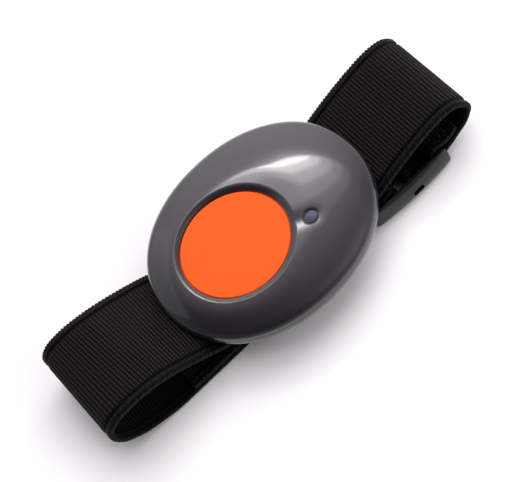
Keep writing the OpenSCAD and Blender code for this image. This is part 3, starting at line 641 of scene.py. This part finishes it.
# Painted shade: the band's inner face, inside the loops, is darkened to 0.7 of its tone.
inner_face_painted_shade = 0.7
hem_rib_painted_shade = np.array([.5, .5, .45, .4, .35, .3, .25, .3, .35, .35, .3, .2, .1, .4, .9])
painted_light_across = np.concatenate([near_hem_painted_light, np.ones(len(field)), far_hem_painted_light[::-1]])
painted_light_across = np.concatenate([inner_face_painted_shade * painted_light_across, painted_light_across[-2:0:-1]])
rib_painted_shade_across = both_hems(hem_rib_painted_shade, 1)
rib_painted_shade_across = np.concatenate([rib_painted_shade_across, rib_painted_shade_across[-2:0:-1]])
# Painted shade: the tone drops in the hollows between the ribs, following the ribs' relief.
weave_and_painted_light[..., 2] = painted_light_across * (1 - rib_painted_shade_across + rib_painted_shade_across * rib[:, None])
weave_place_and_painted_light.data.foreach_set("vector", weave_and_painted_light.astype(np.float32).ravel())

elastic = bpy.data.materials.new("ribbed_elastic")
elastic.use_nodes = True
yarn_nodes, yarn_links = elastic.node_tree.nodes, elastic.node_tree.links
elastic_shader = yarn_nodes["Principled BSDF"]
elastic_shader.inputs["Sheen Weight"].default_value = 0.025
elastic_shader.inputs["Sheen Roughness"].default_value = 0.45
elastic_shader.inputs["Specular IOR Level"].default_value = 0.1
elastic_shader.inputs["Roughness"].default_value = 0.62
woven = yarn_nodes.new("ShaderNodeAttribute")
woven.attribute_name = "weave_place_and_painted_light"
parts = yarn_nodes.new("ShaderNodeSeparateXYZ")
yarn_links.new(woven.outputs["Vector"], parts.inputs["Vector"])
yarn_grid = yarn_nodes.new("ShaderNodeMapping")
yarn_grid.inputs["Scale"].default_value = (0.9, 2.4, 0)
yarn_links.new(woven.outputs["Vector"], yarn_grid.inputs["Vector"])
yarns = yarn_nodes.new("ShaderNodeTexVoronoi")
yarns.inputs["Scale"].default_value = 1.45
yarns.inputs["Randomness"].default_value = 0.35
yarn_links.new(yarn_grid.outputs["Vector"], yarns.inputs["Vector"])
fuzz = yarn_nodes.new("ShaderNodeTexNoise")
fuzz.inputs["Scale"].default_value = 3.5
fuzz.inputs["Detail"].default_value = 5
yarn_links.new(woven.outputs["Vector"], fuzz.inputs["Vector"])
# The ramp turns the painted light in Z, beaded by the weave pattern, into the yarn colour.
tone = yarn_nodes.new("ShaderNodeValToRGB")
tone.color_ramp.elements[0].position, tone.color_ramp.elements[1].position = 0.35, 0.95
tone.color_ramp.elements[0].color = (0.0006, 0.0005, 0.0006, 1)
tone.color_ramp.elements[1].color = (0.0265, 0.0200, 0.0240, 1)
crossing = yarn_nodes.new("ShaderNodeMath")
crossing.operation = "MULTIPLY_ADD"
crossing.inputs[1].default_value = 0.42
yarn_links.new(parts.outputs["X"], crossing.inputs[0])
yarn_links.new(parts.outputs["Y"], crossing.inputs[2])
bead = yarn_nodes.new("ShaderNodeMath")
bead.operation = "PINGPONG"
bead.inputs[1].default_value = 0.36
yarn_links.new(crossing.outputs["Value"], bead.inputs[0])
bead_share = yarn_nodes.new("ShaderNodeMath")
bead_share.operation = "MULTIPLY_ADD"
bead_share.inputs[1].default_value, bead_share.inputs[2].default_value = 1.25, 0.6
yarn_links.new(bead.outputs["Value"], bead_share.inputs[0])
beaded = yarn_nodes.new("ShaderNodeMath")
beaded.operation = "MULTIPLY"
yarn_links.new(parts.outputs["Z"], beaded.inputs[0])
yarn_links.new(bead_share.outputs["Value"], beaded.inputs[1])
yarn_links.new(beaded.outputs["Value"], tone.inputs["Fac"])
uneven = yarn_nodes.new("ShaderNodeMix")
uneven.data_type, uneven.blend_type = "RGBA", "MULTIPLY"
uneven.inputs["Factor"].default_value = 0.5
yarn_links.new(tone.outputs["Color"], uneven.inputs["A"])
yarn_links.new(fuzz.outputs["Fac"], uneven.inputs["B"])
yarn_links.new(uneven.outputs["Result"], elastic_shader.inputs["Base Color"])
bump = yarn_nodes.new("ShaderNodeBump")
bump.inputs["Distance"].default_value = 0.08 * MM
bump.inputs["Strength"].default_value = 0.8
yarn_links.new(yarns.outputs["Distance"], bump.inputs["Height"])
fine = yarn_nodes.new("ShaderNodeBump")
fine.inputs["Distance"].default_value = 0.03 * MM
yarn_links.new(fuzz.outputs["Fac"], fine.inputs["Height"])
yarn_links.new(bump.outputs["Normal"], fine.inputs["Normal"])
yarn_links.new(fine.outputs["Normal"], elastic_shader.inputs["Normal"])
dress(strap, elastic)
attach(strap, "band")
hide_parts("elastic_strap")

# ---------------------------------------------------------------- stitches of the sewn lap
# Two rows of black polyester thread hold the strap's end down behind the end bar. Each stitch
# lies on the lap and dips into it at both ends.
stitch_l, stitch_gap, stitch_row, thread_r, stitch_sides, stitch_rings = 1.5, 0.5, 11, 0.17, 8, 7
stitch_points, stitch_faces = [], []
for from_end in (2.1, 3.6):
    at = int(np.searchsorted(stations, from_end))
    up = -aside[at]
    level = centre[at] + up * (field_half + field_rib * rib[at])
    for start in np.arange(-stitch_row, stitch_row - stitch_l, stitch_l + stitch_gap):
        first = len(stitch_points)
        for k in range(stitch_rings):
            share = k / (stitch_rings - 1)
            mid = level + up * thread_r * (1.9 * math.sin(math.pi * share) - 1.3)
            for a in np.arange(stitch_sides) * 2 * math.pi / stitch_sides:
                x, z = mid + thread_r * (up * math.sin(a) + np.array([up[1], -up[0]]) * math.cos(a))
                stitch_points.append((x, start + stitch_l * share, z))
        stitch_faces += [[first + int(i) for i in f] for f in quads(stitch_rings, stitch_sides)]
        stitch_faces += [[first + i for i in range(stitch_sides)],
                         [first + (stitch_rings - 1) * stitch_sides + i for i in range(stitch_sides)]]
stitches = turned_out(piece("lap_stitches", stitch_points, stitch_faces, 60))
dress(stitches, material("polyester_thread", (0.012, 0.011, 0.012), 0.5, mottle=0.2, grain=9000,
                         depth=0.02))
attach(stitches, "band")

# ---------------------------------------------------------------- buckle frame
# A low black moulding: two bulged side rails joined by the round clamp bar, the end bar that
# the strap is sewn round, and a flat keeper bar over the doubled strap.
buckle_l, buckle_w, buckle_h, buckle_x, buckle_inner = 20.4, 29.6, 4.8, 29.35, 26
rail_round_share, barrel_share, buckle_bulge, corner_power = 0.62, 0.49, 0.9, 20
rail_least, rail_ease, end_share, end_drop, rail_steps = 0.9, 0.28, 0.94, 0.7, 61
bar_r, bar_reach = 0.85, 13.25
pin_x, pin_z, pin_r, pin_reach = 30.1, 3.0, 0.63, 13.7
slot_z, slot_half_l, slot_half_h, slot_r, slot_deep, slot_over = 2.0, 1.4, 0.85, 0.75, 0.9, 0.8


def section(y_in, y_out, z_low, z_high, r_out, r_in, steps=9):
    """A rail section in Y and Z, with a barrel-shaped outer side."""
    tall = (z_high - z_low) * barrel_share
    corners = [(y_out - r_out, z_high - tall, r_out, tall, 0),
               (y_in + r_in, z_high - r_in, r_in, r_in, 90),
               (y_in + r_in, z_low + r_in, r_in, r_in, 180),
               (y_out - r_out, z_low + tall, r_out, tall, 270)]
    made = []
    for y, z, wide, high, start in corners:
        for a in np.radians(np.linspace(start, start + 90, steps)):
            made.append((y + wide * math.cos(a), z + high * math.sin(a)))
    return made


def side_rail(side):
    """One rail, bulged outwards along its length and rounded off at both ends."""
    rows = []
    for a in np.linspace(-90, 90, rail_steps):
        s = math.sin(math.radians(a))
        corner = max(0, 1 - abs(s) ** corner_power) ** (1 / corner_power)
        wide = max((buckle_w / 2 - buckle_bulge * s * s) * corner, buckle_inner / 2 + rail_least)
        end = math.sqrt(max(0, 1 - max(0, (abs(s) - end_share) / (1 - end_share)) ** 2))
        drop = (1 - end) * end_drop
        r = (wide - buckle_inner / 2) * rail_round_share
        ring = section(buckle_inner / 2 + drop * 0.2, wide - drop * 0.6, drop, buckle_h - drop, r,
                       rail_ease)
        rows.append([(buckle_x + buckle_l / 2 * s, side * y, z) for y, z in ring])
    count = len(rows[0])
    faces = [list(f) for f in quads(len(rows), count)]
    faces += [list(range(count)), [(len(rows) - 1) * count + i for i in range(count)]]
    return turned_out(piece("buckle_rail", np.array(rows).reshape(-1, 3), faces))


def bar(name, x, z, r, low, high):
    """A round bar along Y."""
    return prism(name, circle(x, z, r, 40), low, high, along="y")


rails = []
for side in (-1, 1):
    slot_round = [(pin_x + sx * (slot_half_l - slot_r) + slot_r * math.cos(a),
                   slot_z + sz * (slot_half_h - slot_r) + slot_r * math.sin(a))
                  for sx, sz, start in ((1, 1, 0), (-1, 1, 90), (-1, -1, 180), (1, -1, 270))
                  for a in np.radians(np.linspace(start, start + 90, 8))]
    slot_ends = sorted((side * (buckle_w / 2 + slot_over), side * (buckle_w / 2 - slot_deep)))
    pin_ends = sorted((side * 12, side * pin_reach))
    rail = carve(side_rail(side), prism("slot_cut", slot_round, *slot_ends, along="y"))
    rails.append(carve(rail, bar("pin_hole", pin_x, pin_z, pin_r, *pin_ends)))
keeper_low, keeper_high, keeper_left, keeper_right, ease = 3.75, 4.5, 19.5, 20.7, 0.18
keeper = prism("keeper", [(keeper_left + ease, keeper_low), (keeper_right - ease, keeper_low),
                          (keeper_right, keeper_low + ease), (keeper_right, keeper_high - ease),
                          (keeper_right - ease, keeper_high), (keeper_left + ease, keeper_high),
                          (keeper_left, keeper_high - ease), (keeper_left, keeper_low + ease)],
               -bar_reach, bar_reach, along="y")
buckle = rails[0]
for other in (rails[1], bar("clamp", *clamp_bar, bar_r, -bar_reach, bar_reach),
              bar("end", *end_bar, bar_r, -bar_reach, bar_reach), keeper):
    buckle = joined(buckle, other)
buckle.name = "buckle_moulding"
round_off(buckle, 38)
black_finish = material("black_nylon", (0.0075, 0.007, 0.0075), 0.22, mottle=0.08, grain=1500,
                        depth=0.008, spread=0.15, specular=0.45)
dress(buckle, black_finish)
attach(buckle, "band")
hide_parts("buckle_frame")

# ---------------------------------------------------------------- clamp lever and its pin
# A toothed lever under the buckle turns on a steel pin. Closed, its teeth press the strap
# against the clamp bar; swung down and open, it lets the free tail slide to fit the wrist.
lever_bevel = nodes_of["clamp_lever"].modifiers.new("eased", "BEVEL")
lever_bevel.width, lever_bevel.segments, lever_bevel.angle_limit = 0.1 * MM, 2, math.radians(40)
dress(nodes_of["clamp_lever"], black_finish)
dress(nodes_of["hinge_pin"], material("pin_steel", (0.6, 0.6, 0.62), 0.2, metal=1, depth=0.002))

# ---------------------------------------------------------------- table, backdrop and lamps
# The band lies on a white table. A wide window behind it, brightest along its sill, shows as the
# soft patch on the cover. Lamps that no surface mirrors come from the right, above and the front.
table_half, table_z = 700, -0.06
table = piece("table", [(x * table_half, y * table_half, table_z)
                        for x, y in ((-1, -1), (1, -1), (1, 1), (-1, 1))], [(0, 1, 2, 3)])
table_look = bpy.data.materials.new("white_table")
table_look.use_nodes = True
table_nodes, table_links = table_look.node_tree.nodes, table_look.node_tree.links
table_shader = table_nodes["Principled BSDF"]
table_shader.inputs["Roughness"].default_value = 0.9
table_shader.inputs["Specular IOR Level"].default_value = 0.1
table_rays = table_nodes.new("ShaderNodeLightPath")
seen = table_nodes.new("ShaderNodeMath")
seen.operation, seen.use_clamp = "ADD", True
table_links.new(table_rays.outputs["Is Camera Ray"], seen.inputs[0])
table_links.new(table_rays.outputs["Is Glossy Ray"], seen.inputs[1])
white = table_nodes.new("ShaderNodeMix")
white.data_type = "RGBA"
white.inputs["A"].default_value = (0.8, 0.8, 0.8, 1)
white.inputs["B"].default_value = (1, 1, 1, 1)
table_links.new(seen.outputs["Value"], white.inputs["Factor"])
table_links.new(white.outputs["Result"], table_shader.inputs["Base Color"])
dress(table, table_look)

world = bpy.data.worlds.new("studio")
bpy.context.scene.world = world
world.use_nodes = True
sky_nodes, sky_links = world.node_tree.nodes, world.node_tree.links
sky = sky_nodes["Background"]
sky.inputs["Color"].default_value = (0.99, 0.955, 1, 1)
direction = sky_nodes.new("ShaderNodeTexCoord")
height = sky_nodes.new("ShaderNodeSeparateXYZ")
sky_links.new(direction.outputs["Generated"], height.inputs["Vector"])
room = sky_nodes.new("ShaderNodeMapRange")
room.inputs["From Max"].default_value = 0.8
room.inputs["To Min"].default_value, room.inputs["To Max"].default_value = 0.8, 0.04
sky_links.new(height.outputs["Z"], room.inputs["Value"])


def sums(kind, first, second):
    """A sum of the given kind of two sockets or numbers."""
    made = sky_nodes.new("ShaderNodeMath")
    made.operation = kind
    for socket, value in zip(made.inputs, (first, second)):
        if isinstance(value, (int, float)):
            socket.default_value = value
        else:
            sky_links.new(value, socket)
    return made.outputs["Value"]


def soft_glow(heading, height_deg, power, brightness):
    """A soft round patch of light round a compass heading and a height in degrees."""
    a, e = math.radians(heading), math.radians(height_deg)
    toward = sky_nodes.new("ShaderNodeVectorMath")
    toward.operation = "DOT_PRODUCT"
    toward.inputs[1].default_value = (math.cos(a) * math.cos(e), math.sin(a) * math.cos(e), math.sin(e))
    sky_links.new(direction.outputs["Generated"], toward.inputs[0])
    return sums("MULTIPLY", sums("POWER", sums("MAXIMUM", toward.outputs["Value"], 0), power), brightness)


sides = sums("ADD", sums("MULTIPLY", height.outputs["X"], 0.6), 1)
sky_light = sums("MULTIPLY", room.outputs["Result"], sides)
for patch in ((70, 42, 8, 1.35), (-32, 60, 12, 0.8)):
    sky_light = sums("ADD", sky_light, soft_glow(*patch))
sky_rays = sky_nodes.new("ShaderNodeLightPath")
level = sky_nodes.new("ShaderNodeMix")
sky_links.new(sky_rays.outputs["Is Camera Ray"], level.inputs["Factor"])
sky_links.new(sky_light, level.inputs["A"])
level.inputs["B"].default_value = 1
sky_links.new(level.outputs["Result"], sky.inputs["Strength"])


def softbox(name, heading, height, away, width, tall, glow, mirrored=True, shape="RECTANGLE"):
    """A lamp panel at a compass heading and height in degrees, of the given glow (1 is white)."""
    lamp = bpy.data.lights.new(name, "AREA")
    lamp.shape, lamp.size, lamp.size_y = shape, width * MM, tall * MM
    lamp.color = (1, 0.97, 0.99)
    lamp.energy = glow * math.pi * lamp.size * lamp.size_y * (math.pi / 4 if shape == "ELLIPSE" else 1)
    made = bpy.data.objects.new(name, lamp)
    bpy.context.scene.collection.objects.link(made)
    a, e = math.radians(heading), math.radians(height)
    out = Vector((math.cos(a) * math.cos(e), math.sin(a) * math.cos(e), math.sin(e)))
    made.location = out * away * MM
    made.rotation_mode = "QUATERNION"
    made.rotation_quaternion = (-out).to_track_quat("-Z", "Y")
    made.visible_glossy = mirrored
    return made


window_sill, window_away = 49.4, 600
for width, tall, heading, brightness in ((330, 130, 71, 0.5), (270, 92, 72, 0.9), (210, 62, 72.5, 1.8),
                                         (150, 38, 72.5, 3.9), (95, 20, 72, 9)):
    softbox("window", heading, window_sill + math.degrees(math.atan(tall / (2 * window_away))),
            window_away, width, tall, brightness, shape="ELLIPSE")
softbox("side_wall", 122, 33, 900, 600, 480, 0.25)
softbox("key_light", 20, 45, 700, 500, 400, 3.2, mirrored=False)
softbox("top_light", 70, 84, 700, 600, 600, 1.45, mirrored=False)
softbox("front_fill", -50, 28, 700, 500, 500, 2.1, mirrored=False)

bpy.context.scene.view_settings.view_transform = "Standard"
